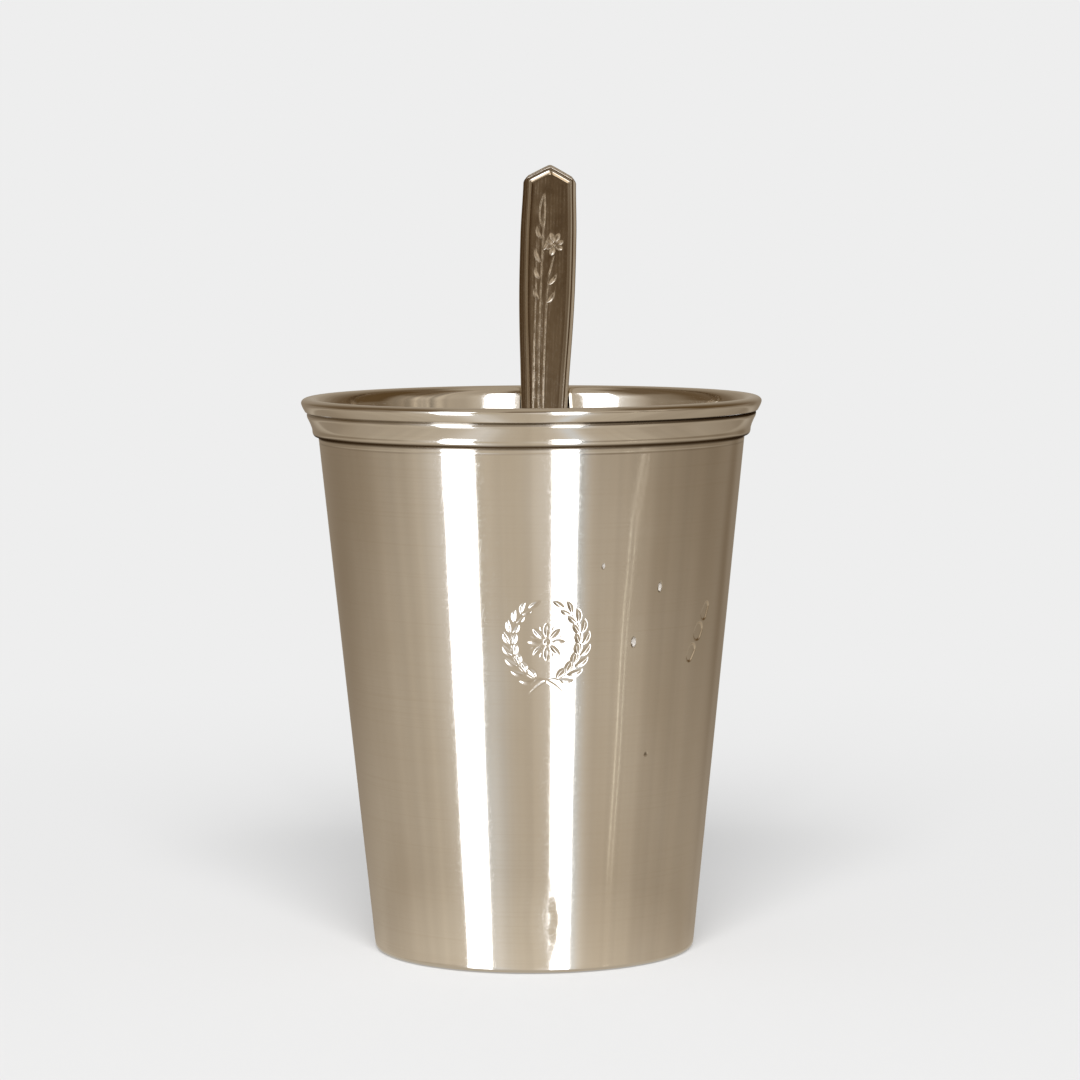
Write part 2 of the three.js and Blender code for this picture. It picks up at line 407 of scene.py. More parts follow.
# Soft dent, steep on its right and gentle on its left
DENT_AT = math.radians(4.9)
DENT_Z = 7.8
DENT_HALF_HEIGHT = 4.2
DENT_RADIUS = outer_radius(8.0)
DENT_RIGHT = 1.8
DENT_LEFT = 5.5
DENT_DEPTH = 0.085
DENT_SCUFF = 0.15

# Columns of the mesh, finer from the wreath to the punches
FINE_COLUMN = math.radians(0.19)
COARSE_COLUMN = math.radians(0.9)
PUNCHES_END = math.radians(64.5)

# Rows of the mesh, finer at: a height, half the band, the step there, its growth outside
COARSE_ROW = 1.3
FINE_ROWS = [(ORNAMENT_Z, ORNAMENT_REACH, 0.1, 0.2), (SCRIBE_Z, 0.4, 0.06, 0.25),
             (8.5, 6.0, 0.16, 0.2), (PIT[1], 0.6, 0.12, 0.3), (NICKS[0][1], 0.6, 0.1, 0.3)]


def wreath():
    """Strokes of two leafy branches, tied below, round a rosette."""
    def on_stem(degrees):
        a = math.radians(degrees)
        way = np.array([math.sin(a), -WREATH_STRETCH * math.cos(a)])
        return WREATH_CENTRE + WREATH_RADIUS * way

    def ahead_on_stem(degrees, reach):
        ahead = on_stem(degrees + reach) - on_stem(degrees - reach)
        return ahead / np.hypot(*ahead)

    stem = np.array([on_stem(d) for d in np.linspace(-9, WREATH_END, 60)])
    strokes = [line(stem, 0.2, 0.1)]
    for k in range(8):
        degrees = LEAF_STEP * (k + 1)
        foot, ahead = on_stem(degrees), ahead_on_stem(degrees, 4)
        out = np.array([ahead[1], -ahead[0]])
        for side, spread, length in ((1, 0.62, 2.75), (-1, 0.66, 2.3)):
            size = length * (1 - 0.035 * k)
            middle = foot + size * 0.5 * (0.7 * ahead + 1.25 * spread * side * out)
            tip = foot + size * (0.87 * ahead + 0.62 * spread * side * out)
            strokes.append(leaf(bend(foot, middle, tip), 0.48 - 0.015 * k))
    end, ahead = on_stem(WREATH_END), ahead_on_stem(WREATH_END, 2)
    strokes.append(leaf(bend(end, end + 1.1 * ahead, end + 2.0 * ahead), 0.4))
    strokes.append(line(bend((0.1, -5.7), (1.2, -6.2), (2.5, -7.5)), 0.26, 0.1))
    strokes.append(leaf(bend((0.1, -5.7), (1.7, -5.2), (2.2, -6.2)), 0.34))
    strokes = mirrored(strokes)
    for k in range(PETALS):
        a = math.radians(360 / PETALS * k)
        way = np.array([math.sin(a), math.cos(a)])
        near, far, half = ((0.75, 2.75, 0.4), (1.7, 2.5, 0.13))[k % 2]
        strokes.append(leaf(WREATH_CENTRE + np.linspace(near, far, 10)[:, None] * way, half))
    strokes.append(dot(WREATH_CENTRE, 0.42))
    return strokes


def punches():
    """Strokes of three flat recesses, one behind the other."""
    return [line(np.linspace(place - reach, place + reach, 6)[:, None] * PUNCH_ROW, start, stop)
            for place, reach, start, stop in PUNCHES]


def soft_dent(angle, z):
    ragged = 0.13 * np.sin(1.7 * z) + 0.06 * np.sin(4.3 * z + 1.0) + 0.03 * np.sin(9.7 * z + 2.0)
    along = (angle - DENT_AT) * DENT_RADIUS - ragged
    flank = np.clip(np.where(along > 0, along / DENT_RIGHT, -along / DENT_LEFT), 0, 1)
    return (1 - eased(flank)) * np.exp(-(((z - DENT_Z) / DENT_HALF_HEIGHT) ** 2))


def wall_offset(angle, z):
    """How far the outside of the wall stands from a true cone, its soil, scuffs and painted sheen.
    """
    across = (angle - ORNAMENT_AT) * outer_radius(ORNAMENT_Z)
    cut = stroke_field(across, z - ORNAMENT_Z, wreath(),
                       lambda d, w: CUT_SLOPE * np.clip(w - d, 0, None))
    soil_and_shade = np.clip(cut / 0.2, 0, 1) * 0.2

    sunk = soft_dent(angle, z)
    dent = DENT_DEPTH * sunk
    scuff = DENT_SCUFF * sunk

    for bearing, height, wide, tall in NICKS:
        u = (angle - math.radians(bearing)) * outer_radius(height)
        edge = wide * np.sqrt(np.clip(1 - ((z - height) / tall) ** 2, 0, None))
        slope = math.tan(math.radians(bearing - NICK_FACES))
        facet = np.minimum(slope * (edge - u), NICK_STEEP * (u + edge))
        dent += np.clip(facet, 0, None)
        scuff = np.maximum(scuff, (facet > 0) * 0.9)
        soil_and_shade = np.maximum(soil_and_shade, (facet > 0) * 0.5)

    across = (angle - PUNCHES_AT) * outer_radius(PUNCHES_Z)
    punched = stroke_field(across, z - PUNCHES_Z, punches(),
                           lambda d, w: np.clip(PUNCH_SLOPE * (w - d), 0, PUNCH_DEPTH))
    dent += punched
    # Painted sheen: a lighter warm tint that peaks halfway down each punch wall
    rub_and_sheen = PUNCH_SHEEN * punched / PUNCH_DEPTH * (1 - punched / PUNCH_DEPTH)
    scuff = np.maximum(scuff, rub_and_sheen)

    bearing, height, size = PIT
    away = np.hypot((angle - math.radians(bearing)) * outer_radius(height), z - height)
    soil_and_shade = np.maximum(soil_and_shade, 0.75 * np.clip(1.4 - 1.6 * away / size, 0, 1))
    dent += PIT_SLOPE * np.clip(size - away, 0, None)

    inside = np.clip((z - 2.0) / 6.0, 0, 1) * np.clip((76.0 - z) / 8.0, 0, 1)
    sway = 0.006 * np.sin(7 * angle + 0.11 * z + 0.8) * np.sin(0.21 * z + 0.4)
    sway += 0.005 * np.sin(13 * angle - 0.07 * z) * np.sin(0.13 * z + 1.9)
    return sway * inside - cut - dent, soil_and_shade, scuff, rub_and_sheen


def wall_columns():
    first = ORNAMENT_AT - ORNAMENT_REACH / outer_radius(ORNAMENT_Z)
    angles = [-math.pi]
    while angles[-1] < math.pi - 0.5 * COARSE_COLUMN:
        away = max(first - angles[-1], angles[-1] - PUNCHES_END, 0)
        angles.append(angles[-1] + min(COARSE_COLUMN, FINE_COLUMN + away * 0.2))
    return np.array(angles[:-1] if math.pi - angles[-1] < 0.5 * COARSE_COLUMN else angles)


def wall_rows():
    heights = [FOOT_RADIUS]
    while heights[-1] < SEAT_Z:
        z = heights[-1]
        steps = [step + growth * max(abs(z - middle) - half, 0)
                 for middle, half, step, growth in FINE_ROWS]
        heights.append(z + min(COARSE_ROW, *steps))
    heights[-1] = SEAT_Z
    return np.array(heights)


def build_wall():
    angles, heights = wall_columns(), wall_rows()
    edge = outer_radius(FOOT_RADIUS) - FOOT_RADIUS
    foot = [(FOOT_LIP, 0.0), (FOOT_LIP + 0.3, 0.0)]
    foot += arc(edge, FOOT_RADIUS, FOOT_RADIUS, FOOT_RADIUS, -90, -6, 14)
    outside = [(outer_radius(z), z) for z in heights]
    inside = [(inner_radius(z), z) for z in np.linspace(SEAT_Z, FOOT_LIP_HEIGHT, 48)]
    section = foot + outside + inside + [(FOOT_LIP, FOOT_LIP_HEIGHT)]

    points, faces = turn(section, angles)
    rows = slice(len(foot), len(foot) + len(outside))
    a, z = np.meshgrid(angles, heights, indexing="ij")
    # rubbed carries the painted sheen on the punch walls
    offset, soiled, scuffed, rubbed = wall_offset(a, z)
    scribed = np.clip(1 - np.abs(z - SCRIBE_Z) / SCRIBE_HALF, 0, None)
    radius = outer_radius(z) + offset - SCRIBE_DEPTH * scribed
    points[:, rows, 0] = np.sin(a) * radius
    points[:, rows, 1] = -np.cos(a) * radius

    soil_and_shade, scuff, rub_and_sheen = (np.zeros(points.shape[:2]) for _ in range(3))
    # Painted shade: a dark band on the wall just under the moulding
    painted_shade_under_rim = np.clip((z - MOULDING_FOOT + 0.46) / 0.3, 0, 1)
    soil_and_shade[:, rows] = soiled + scribed * 0.15 + painted_shade_under_rim
    scuff[:, rows], rub_and_sheen[:, rows] = scuffed, rubbed
    points = points.reshape(-1, 3) * MM
    piece = make_piece("wall_skin", points, faces, "tumbler", "cup_wall", wall_silver)
    point_values(piece, "soil_and_shade", np.clip(soil_and_shade, 0, 1))
    point_values(piece, "scuff", np.clip(scuff, 0, 1))
    point_values(piece, "rub_and_sheen", rub_and_sheen)
    own_places(piece, points)


# Rim moulding: lip, groove, cove and lower bead. Places are radii and heights from the groove.

COVE_TOP = (34.05, -0.8)
SWELL = (34.24, -0.28)
SWELL_END = (34.04, -0.05)
GROOVE = [(34.03, 0.0), (34.12, 0.06)]
FLANK_START = (34.4, 0.12)
FLANK_TURN = 0.4
LIP_SHY = 0.01
INSIDE_PROUD = 0.012
SKIRT_LAP = 0.35
RIM_COLUMNS = 300

# Soil and painted shade in the groove, by height from it, outside this radius
GROOVE_SOIL_AND_SHADE = ([-0.5, -0.33, 0.06, 0.2], [0, 1, 1, 0])
GROOVE_SOIL_AND_SHADE_FROM = 33.5


def skirt_radius(z):
    return outer_radius(z) + FIT_GAP


def build_rim():
    groove_z = CUP_HEIGHT - GROOVE_BELOW_TOP

    def by_groove(place):
        return place[0], groove_z + place[1]

    lip_r, lip_out = RIM_RADIUS - LIP_RADIUS, RIM_RADIUS - LIP_SHY
    bead_top = MOULDING_FOOT + BEAD_HEIGHT
    cove_low = skirt_radius(bead_top) + BEAD_OVERHANG
    cove_r, cove_z = by_groove(COVE_TOP)

    section = [(outer_radius(MOULDING_FOOT) - 0.1, MOULDING_FOOT + 0.04)]
    section += arc(skirt_radius(bead_top), bead_top, BEAD_OVERHANG, BEAD_HEIGHT, -84, 0, 14)
    for rise in np.linspace(0, 1, 18)[1:]:
        z = bead_top + (cove_z - bead_top) * rise
        section.append((cove_low + (cove_r - cove_low) * rise ** COVE_BOW, z))
    swell = bend((cove_r, cove_z), by_groove(SWELL), by_groove(SWELL_END), 14)
    section += [tuple(p) for p in swell[1:]]
    section += [by_groove(place) for place in GROOVE]
    shoulder_z = CUP_HEIGHT - SHOULDER_ROUND
    below = (lip_out, shoulder_z - FLANK_TURN)
    flank = bend(by_groove(FLANK_START), below, (lip_out, shoulder_z), 16)
    section += [tuple(p) for p in flank]
    section += arc(lip_r, shoulder_z, lip_out - lip_r, SHOULDER_ROUND, 0, 90, 26)[1:]
    throat_z, low = CUP_HEIGHT - THROAT_ROUND, SEAT_Z - SKIRT_LAP
    throat = lip_r - inner_radius(throat_z)
    tangent = 180 - math.degrees(math.atan(TAPER * THROAT_ROUND / throat))
    section += arc(lip_r, throat_z, throat, THROAT_ROUND, 90, tangent, 30)[1:]
    section += [(inner_radius(z) - INSIDE_PROUD, z) for z in np.linspace(throat_z, low, 3)]
    section += [(inner_radius(low) + 0.2, low), (inner_radius(SEAT_Z) + 0.2, SEAT_Z + 0.05)]
    section += [(skirt_radius(SEAT_Z), SEAT_Z + 0.05), (skirt_radius(bead_top), bead_top)]

    angles = np.linspace(-math.pi, math.pi, RIM_COLUMNS, endpoint=False)
    points, faces = turn(section, angles)
    radius, height = np.array(section).T
    # Soil and painted shade darken the groove line, more on the right
    groove_soil_and_shade = np.interp(height - groove_z, *GROOVE_SOIL_AND_SHADE) * (radius > GROOVE_SOIL_AND_SHADE_FROM)
    # Painted shade at the foot of the bead, continuing the dark line under the moulding
    painted_shade_at_foot = np.clip(1.7 - (height - MOULDING_FOOT) / 0.28, 0, 1)
    more_on_right = np.clip(0.62 + 0.5 * np.sin(angles), 0.25, 0.9)[:, None]
    points = points.reshape(-1, 3) * MM
    piece = make_piece("rim_skin", points, faces, "tumbler", "rim_moulding", rim_silver, 50)
    point_values(piece, "soil_and_shade", np.clip(groove_soil_and_shade * more_on_right + painted_shade_at_foot, 0, 1))
    own_places(piece, points)


# Bottom disc, with a fine seam round its plug

SEAM = 0.08
SEAM_SOIL_HALF = 0.25
DISC_EDGE = 0.12
DISC_COLUMNS = 180


def build_base():
    plug, flange = FOOT_LIP - SEAM, inner_radius(DISC_THICKNESS) - SEAM
    edge = (DISC_EDGE, DISC_EDGE)
    section = [(0.02, 0.0)]
    section += [(r, 0.0) for r in np.linspace(3, plug - 0.6, 8)]
    section += arc(plug - DISC_EDGE, DISC_EDGE, *edge, -90, 0, 5)
    section += [(plug, FOOT_LIP_HEIGHT), (inner_radius(FOOT_LIP_HEIGHT) - 0.15, FOOT_LIP_HEIGHT)]
    section += arc(flange - DISC_EDGE, DISC_THICKNESS - DISC_EDGE, *edge, 0, 90, 5)
    section += [(r, DISC_THICKNESS) for r in np.linspace(plug - 0.6, 3, 8)]
    section += [(0.02, DISC_THICKNESS)]
    angles = np.linspace(-math.pi, math.pi, DISC_COLUMNS, endpoint=False)
    points, faces = turn(section, angles)
    rows = len(section)
    faces = [face for face in faces if face[0] % rows != rows - 1]
    faces.append(tuple(i * rows for i in reversed(range(DISC_COLUMNS))))
    faces.append(tuple(i * rows + rows - 1 for i in range(DISC_COLUMNS)))
    radius = np.hypot(points[..., 0], points[..., 1])
    points = points.reshape(-1, 3) * MM
    piece = make_piece("base_skin", points, faces, "tumbler", "base_disc", base_silver)
    point_values(piece, "soil_and_shade", np.clip(1 - np.abs(radius - plug) / SEAM_SOIL_HALF, 0, 1) * 0.7)
    own_places(piece, points)


# Spoon: the same loft as the solid, finer, with a double thread at its edge and a raised sprig

SPOON_LENGTH = 127.6
BOWL_LENGTH = 38.0
BOWL_WIDTH = 23.0
BOWL_DEPTH = 5.5
BOWL_THICKNESS = 1.1
BOWL_WIDEST = 21.3
HEEL_RUN = 11.4
TIP_WIDTH = 1.2
TIP_BOW = 1.7
TIP_FULLNESS = 0.8
HEEL_BOW = 2.2
HEEL_FULLNESS = 0.62
HOLLOW_BOW = 2.3
BACK_ROUNDING = 0.45
NECK_WIDTH = 4.4
NECK_END = BOWL_LENGTH + 12.0
NECK_THICKNESS = 2.6
HANDLE_THICKNESS = 1.8
HANDLE_WIDTH = 9.1
WIDEST_AT = SPOON_LENGTH - 13.0
WAIST_WIDTH = 7.6
WAIST_AT = SPOON_LENGTH - 40.0
SHOULDER_WIDTH = 8.6
GABLE_RISE = 2.6
GABLE_SLOPE = GABLE_RISE / (SHOULDER_WIDTH / 2)
GABLE_STRETCH = math.hypot(1, GABLE_SLOPE)
GABLE_FADE = 12
SHOULDER_AT = SPOON_LENGTH - GABLE_RISE
STEM_RISE = 4.5
END_DROP = 1.5
STEM_START = BOWL_LENGTH - HEEL_RUN

# How the spoon stands in the tumbler, as in the solid
SPOON_TILT = math.radians(65.682822)
SPOON_LEAN = math.radians(1.8)
SPOON_PLACE = (-0.5, -1.0, 1.926371)

# Depth of the face below its highest thread, at distances from the outline
BORDER_AT = [0.0, 0.05, 0.12, 0.2, 0.48, 0.54, 0.68, 0.74, 0.95, 1.02, 1.18, 1.38, 1.45, 1.5]
BORDER_LEFT = [0.36, 0.12, 0.05, 0.01, 0.0, 0.03, 0.03, 0.0, 0.0, 0.03, 0.1, 0.13, 0.2, 0.25]
BORDER_RIGHT = [0.36, 0.14, 0.085, 0.055, 0.005, 0.06, 0.07, 0.035, 0.0, 0.0, 0.11, 0.248, 0.25,
                0.25]
PLAIN_EDGE = ([0, 0.1, 0.3, 0.6], [0.3, 0.1, 0.02, 0])
BORDER_WIDTH = BORDER_AT[-1]
CORNER = 0.85
APEX = 0.3
RELIEF_SCALE = 0.17

# Rows and columns of the mesh
BOWL_ROWS = 48
PANEL_COLUMNS = 46
PANEL_STEP = 0.11
PANEL_FROM = 86.0

# Soil, painted shade and rubbing at distances from the outline: at the threads, the gable, the
# left, the right
THREAD_SOIL = ([0.46, 0.54, 0.68, 0.76, 1.4, 1.5, 1.9], [0, 0.85, 0.85, 0, 0, 0.5, 0])
# Painted shade on the gable's bevel, which tones its highlight cream
GABLE_BEVEL_SHADE = ([1.0, 1.08, 1.44, 1.5], [0, 1, 1, 0])
# Painted shade that darkens the left border
LEFT_SHADE = ([0.03, 0.1, 0.44, 0.5, 0.74, 0.8, 1.12, 1.2, 1.5, 1.9],
             [0, 0.95, 0.95, 0, 0, 0.25, 0.25, 0.95, 0.5, 0])
RIGHT_DARKER = ([0.74, 0.8, 1.05, 1.15, 1.3, 1.4], [0, 0.15, 0.15, 0.25, 0.25, 0])
GABLE_RUB = ([0.1, 0.2, 0.46, 0.54], [0, 1, 1, 0])
RIGHT_RUB = ([0.7, 0.8, 1.3, 1.4], [0, 1, 1, 0])
# Tarnish on the panel, with painted shade that darkens it toward the end of the handle
PANEL_SOIL_AND_SHADE = 0.55

# Rubbed lines along the panel: place across, half width, strength
RUBBED = [(-2.35, 0.14, 0.5), (-1.9, 0.13, 0.9), (-1.5, 0.18, 0.6), (-0.72, 0.13, 0.8),
          (-0.2, 0.16, 0.4), (0.4, 0.14, 0.55), (0.75, 0.18, 0.3), (1.35, 0.14, 0.35),
          (1.9, 0.16, 0.3), (2.45, 0.12, 0.3)]

# Sprig on the panel: x across, y as the distance from the end of the handle
STEMS = [((-1.7, 47), (-2.0, 34), (-1.75, 21.5), 30), ((-0.9, 47), (-1.2, 28), (-0.9, 11.5), 34),
         ((-0.2, 47), (-0.35, 30), (0.2, 20), 30), ((0.2, 20), (0.6, 18.4), (0.95, 16.6), 8)]
TOP_LEAF = ((-0.9, 11.6), (-1.3, 9.0), (-0.85, 5.4), 18)
LEAVES = [((-0.9, 13.6), (-1.9, 13.0), (-1.9, 11.2)), ((-0.95, 15.6), (0.1, 14.8), (0.05, 12.8)),
          ((-1.0, 17.8), (-2.0, 17.2), (-2.1, 15.2)), ((-1.05, 20.8), (-2.0, 20.4), (-2.0, 18.6)),
          ((-0.05, 21.8), (1.1, 21.2), (1.5, 19.6)), ((-0.2, 25.0), (0.9, 24.4), (1.2, 22.8)),
          ((-1.1, 24.6), (-2.0, 24.0), (-2.1, 22.4))]
FLOWER = np.array([1.0, 14.6])
FLOWER_STRETCH = 1.35
# Direction in degrees and length of each petal
FLOWER_PETALS = [(-158, 1.5), (-112, 1.35), (-68, 1.45), (-22, 1.75), (24, 1.75), (68, 1.45),
                 (114, 1.3)]


def smooth_through(pairs):
    """A curve through pairs of position and value that never overshoots them."""
    at = np.array([p[0] for p in pairs], dtype=float)
    value = np.array([p[1] for p in pairs], dtype=float)
    rate = np.diff(value) / np.diff(at)
    slope = np.zeros(len(at))
    for i in range(1, len(at) - 1):
        before, after = rate[i - 1], rate[i]
        slope[i] = 2 * before * after / (before + after) if before * after > 0 else 0

    def curve(position):
        s = np.clip(position, at[0], at[-1])
        k = np.clip(np.searchsorted(at, s, side="left") - 1, 0, len(at) - 2)
        span = at[k + 1] - at[k]
        t = (s - at[k]) / span
        start = value[k] + slope[k] * span * t
        stop = value[k + 1] - slope[k + 1] * span * (1 - t)
        return start + (stop - start) * t * t * (3 - 2 * t)

    return curve


stem_half = smooth_through([(STEM_START, 0), (BOWL_LENGTH, NECK_WIDTH / 2),
                            (NECK_END, NECK_WIDTH / 2), (WAIST_AT, WAIST_WIDTH / 2),
                            (WIDEST_AT, HANDLE_WIDTH / 2), (SHOULDER_AT, SHOULDER_WIDTH / 2)])
mid_height = smooth_through([(0, 0), (STEM_START, 0), (NECK_END, STEM_RISE / 2),
                             (WAIST_AT, STEM_RISE), (SPOON_LENGTH, STEM_RISE - END_DROP)])
thickness = smooth_through([(0, BOWL_THICKNESS), (STEM_START, BOWL_THICKNESS),
                            (NECK_END, NECK_THICKNESS), (WAIST_AT, HANDLE_THICKNESS),
                            (SPOON_LENGTH, HANDLE_THICKNESS)])
panel_fade = smooth_through([(NECK_END, 0), (NECK_END + 12, 1)])


def half_width(s):
    before = np.clip(1 - s / BOWL_WIDEST, 0, None)
    after = np.clip((s - BOWL_WIDEST) / (BOWL_LENGTH - BOWL_WIDEST), 0, None)
    toward_tip = (1 - before ** TIP_BOW) ** TIP_FULLNESS
    toward_neck = np.clip(1 - after ** HEEL_BOW, 0, None) ** HEEL_FULLNESS
    bowl = BOWL_WIDTH / 2 * toward_tip * toward_neck
    return np.maximum((bowl ** 4 + stem_half(s) ** 4) ** 0.25, TIP_WIDTH / 2)


def hollow(s, u):
    t = np.clip(s / BOWL_LENGTH, 0, 1)
    return BOWL_DEPTH * (1 - np.abs(2 * t - 1) ** HOLLOW_BOW) * (1 - np.abs(u) ** HOLLOW_BOW)


def outline(path, half, width):
    """Two thin strokes round a leaf and one vein in its lower half."""
    t = np.linspace(0, 1, len(path))
    ahead = np.gradient(path, axis=0)
    out = np.stack([ahead[:, 1], -ahead[:, 0]], axis=1) / np.hypot(*ahead.T)[:, None]
    bulge = (half * np.sin(np.pi * t) ** 0.8)[:, None]
    thin = np.full(len(path), width)
    vein = path[: len(path) * 2 // 3]
    return [(path + out * bulge, thin), (path - out * bulge, thin), line(vein, width, 0.05)]


def sprig():
    """Strokes of three slender stems with leaves and one flower."""
    strokes = [line(bend(*stem), 0.2, 0.15) for stem in STEMS]
    strokes += outline(bend(*TOP_LEAF), 0.42, 0.2)
    strokes += [leaf(bend(*points, 14), 0.42) for points in LEAVES]
    for degrees, length in FLOWER_PETALS:
        a = math.radians(degrees)
        way = np.array([math.sin(a), -math.cos(a) * FLOWER_STRETCH])
        strokes.append(leaf(FLOWER + np.linspace(0.3, length, 12)[:, None] * way, 0.56))
    strokes.append(dot(FLOWER, 0.36))
    return strokes


def rubbed_lines(across, s):
    field = np.zeros_like(across)
    for k, (centre, half, strength) in enumerate(RUBBED):
        broken = 0.6 + 0.4 * np.sin((0.31 + 0.03 * k) * s + 2.1 * k)
        broken = broken + 0.3 * np.sin((1.7 + 0.2 * k) * s + 1.3 * k)
        wander = centre + 0.06 * np.sin(0.23 * s + 1.9 * k)
        field += strength * np.exp(-(((across - wander) / half) ** 2)) * np.clip(broken, 0, 1)
    return np.clip(field, 0, 1)


def spoon_grid():
    """Places on the face, in rows from the tip of the bowl to the gable: x across, s along."""
    body_end = SPOON_LENGTH - BORDER_WIDTH * GABLE_STRETCH
    at = list(BOWL_LENGTH * np.linspace(0, 1, BOWL_ROWS, endpoint=False) ** 1.25)
    while at[-1] < body_end - 0.12:
        at.append(at[-1] + min(0.8, PANEL_STEP + max(PANEL_FROM - at[-1], 0) * 0.1))
    at = [s for s in at if s < body_end - 0.06]
    at = np.array(at + [SPOON_LENGTH - b * GABLE_STRETCH for b in reversed(BORDER_AT)])

    chevron = (at - (SPOON_LENGTH - GABLE_FADE)) / (SHOULDER_AT - SPOON_LENGTH + GABLE_FADE)
    chevron = np.clip(chevron, 0, 1)
    drop = eased(chevron) * GABLE_SLOPE
    half = half_width(at - drop * half_width(at))
    from_gable = (SPOON_LENGTH - at) / GABLE_STRETCH
    half = half - CORNER * np.clip(1 - from_gable / (CORNER * 0.86), 0, 1) ** 2
    squeeze = np.minimum(1, 0.6 * half / BORDER_WIDTH)
    side = [half - b * squeeze for b in BORDER_AT]
    side += [(half - BORDER_WIDTH * squeeze) * f for f in np.linspace(1, 0, PANEL_COLUMNS)[1:]]
    side = np.array(side).T

    by_row = (at, drop, half, squeeze, from_gable)
    at, drop, half, squeeze, from_gable = (values[:, None] for values in by_row)
    x = np.concatenate([-side, side[:, -2::-1]], axis=1)
    s = at - drop * np.hypot(x, APEX)
    inward = np.minimum((half - np.abs(x)) / squeeze, from_gable)
    return SimpleNamespace(at=at, half=half, from_gable=from_gable, x=x, s=s, u=x / half,
                           inward=inward, fade=panel_fade(s), on_right=np.clip(0.5 + x / 0.3, 0, 1))


def spoon_faces(rows, count):
    """Quads of the loft, with its two ends."""
    faces = tube_faces(rows, count)
    end = (rows - 1) * count
    for j in range(count // 2 - 1):
        below = count - 1 - j
        faces.append((j, below, below - 1, j + 1))
        faces.append((end + j, end + j + 1, end + below - 1, end + below))
    return faces


def spoon_wear(grid, worn, lines):
    """Soil and shade, scuffs and rub with painted sheen on the face; worn and lines mark the high
    places.
    """
    x, s, inward, fade, on_right = grid.x, grid.s, grid.inward, grid.fade, grid.on_right
    from_end = SPOON_LENGTH - s
    soil_and_shade = fade * np.interp(inward, *THREAD_SOIL)
    # Painted shade: the panel darkens toward the end of the handle
    in_panel = np.clip((inward - BORDER_WIDTH) / 0.4, 0, 1) * np.clip(1.8 - from_end / 20, 0.25, 1)
    blotch = 0.8 + 0.3 * np.sin(1.1 * x + 0.4 * s) * np.sin(0.7 * s - 1.3 * x) + 0.06 * x
    soil_and_shade = soil_and_shade + PANEL_SOIL_AND_SHADE * fade * in_panel * blotch
    patchy = 0.5 + 0.5 * np.sin(2.3 * s + 1.9 * x) * np.sin(1.27 * s - 2.9 * x + 0.7)
    patchy = np.clip(patchy + 0.25 * np.sin(5.1 * s + 4.3 * x), 0, 1)
    soil_and_shade = np.maximum(soil_and_shade * (1 - 0.8 * worn) * (1 - 0.7 * lines), 0.5 * worn * (1 - patchy))

    on_gable = np.clip((inward * GABLE_STRETCH + 0.3 - (SPOON_LENGTH - grid.at)) / 0.2, 0, 1)
    # Painted shade on the gable's bevel and the left border; darker bands on the right
    soil_and_shade += 0.85 * on_gable * np.interp(inward, *GABLE_BEVEL_SHADE)
    soil_and_shade += fade * (1 - on_right) * (1 - on_gable) * np.interp(inward, *LEFT_SHADE)
    soil_and_shade += fade * on_right * np.interp(inward, *RIGHT_DARKER)

    at_gable = np.clip(3.0 - grid.from_gable / 0.3, 0, 1) * (grid.from_gable < inward + 0.02)
    at_right = np.clip(1 - (from_end - 2.5) / 3.5, 0, 1) * (x > 3) * 0.6
    rubbed = np.interp(inward, *GABLE_RUB) * at_gable
    rubbed += np.interp(inward, *RIGHT_RUB) * at_right
    scuff = np.clip((0.25 + 0.4 * patchy) * worn + 0.9 * rubbed + 0.6 * lines, 0, 1)
    # Painted warm sheen on the raised sprig and the rubbed lines
    rub_and_sheen = np.clip((0.1 + 0.65 * patchy) * worn + 0.5 * lines, 0, 1)
    return np.clip(soil_and_shade, 0, 1), scuff, rub_and_sheen


def build_spoon():
    grid = spoon_grid()
    x, s, u, inward, fade, on_right = grid.x, grid.s, grid.u, grid.inward, grid.fade, grid.on_right
    low = np.interp(inward, BORDER_AT, BORDER_LEFT) * (1 - on_right)
    low += np.interp(inward, BORDER_AT, BORDER_RIGHT) * on_right
    plain = np.interp(inward, *PLAIN_EDGE)
    middle = mid_height(s) - hollow(s, u)
    face = middle + thickness(s) / 2 - low * fade - plain * (1 - fade)
    raised = stroke_field(x, SPOON_LENGTH - s, sprig(),
                          lambda d, w: w * np.clip(1 - (d / w) ** 2, 0, None) ** 2)
    raised *= 0.75 + 0.25 * np.sin(1.7 * x + 0.9 * s) * np.sin(1.1 * s - 2.3 * x)
    face += RELIEF_SCALE * raised
    back = middle - thickness(s) / 2 * (1 - BACK_ROUNDING * np.abs(u) ** 3)

    front = np.stack([x, s, face], axis=-1)
    rear = np.stack([x, s, back], axis=-1)[:, ::-1]
    loop = np.concatenate([front, rear], axis=1)
    own = loop.reshape(-1, 3)
    stand = Matrix.Translation(SPOON_PLACE) @ Matrix.Rotation(SPOON_LEAN, 4, "Y")
    stand = np.array(stand @ Matrix.Rotation(SPOON_TILT, 4, "X"))
    points = (own @ stand[:3, :3].T + stand[:3, 3]) * MM
    faces = spoon_faces(*loop.shape[:2])
    piece = make_piece("spoon_skin", points, faces, "spoon", "spoon", spoon_silver, 17)

    lines = rubbed_lines(x * (HANDLE_WIDTH / 2) / grid.half, s)
    lines = lines * fade * np.clip((inward - BORDER_WIDTH) / 0.3, 0, 1)
    wear = spoon_wear(grid, np.clip(raised / 0.12, 0, 1), lines)
    for name, values in zip(("soil_and_shade", "scuff", "rub_and_sheen"), wear):
        point_values(piece, name, np.concatenate([values, np.zeros_like(values)], axis=1))
    own_places(piece, own * MM)


build_wall()
build_rim()
build_base()
build_spoon()


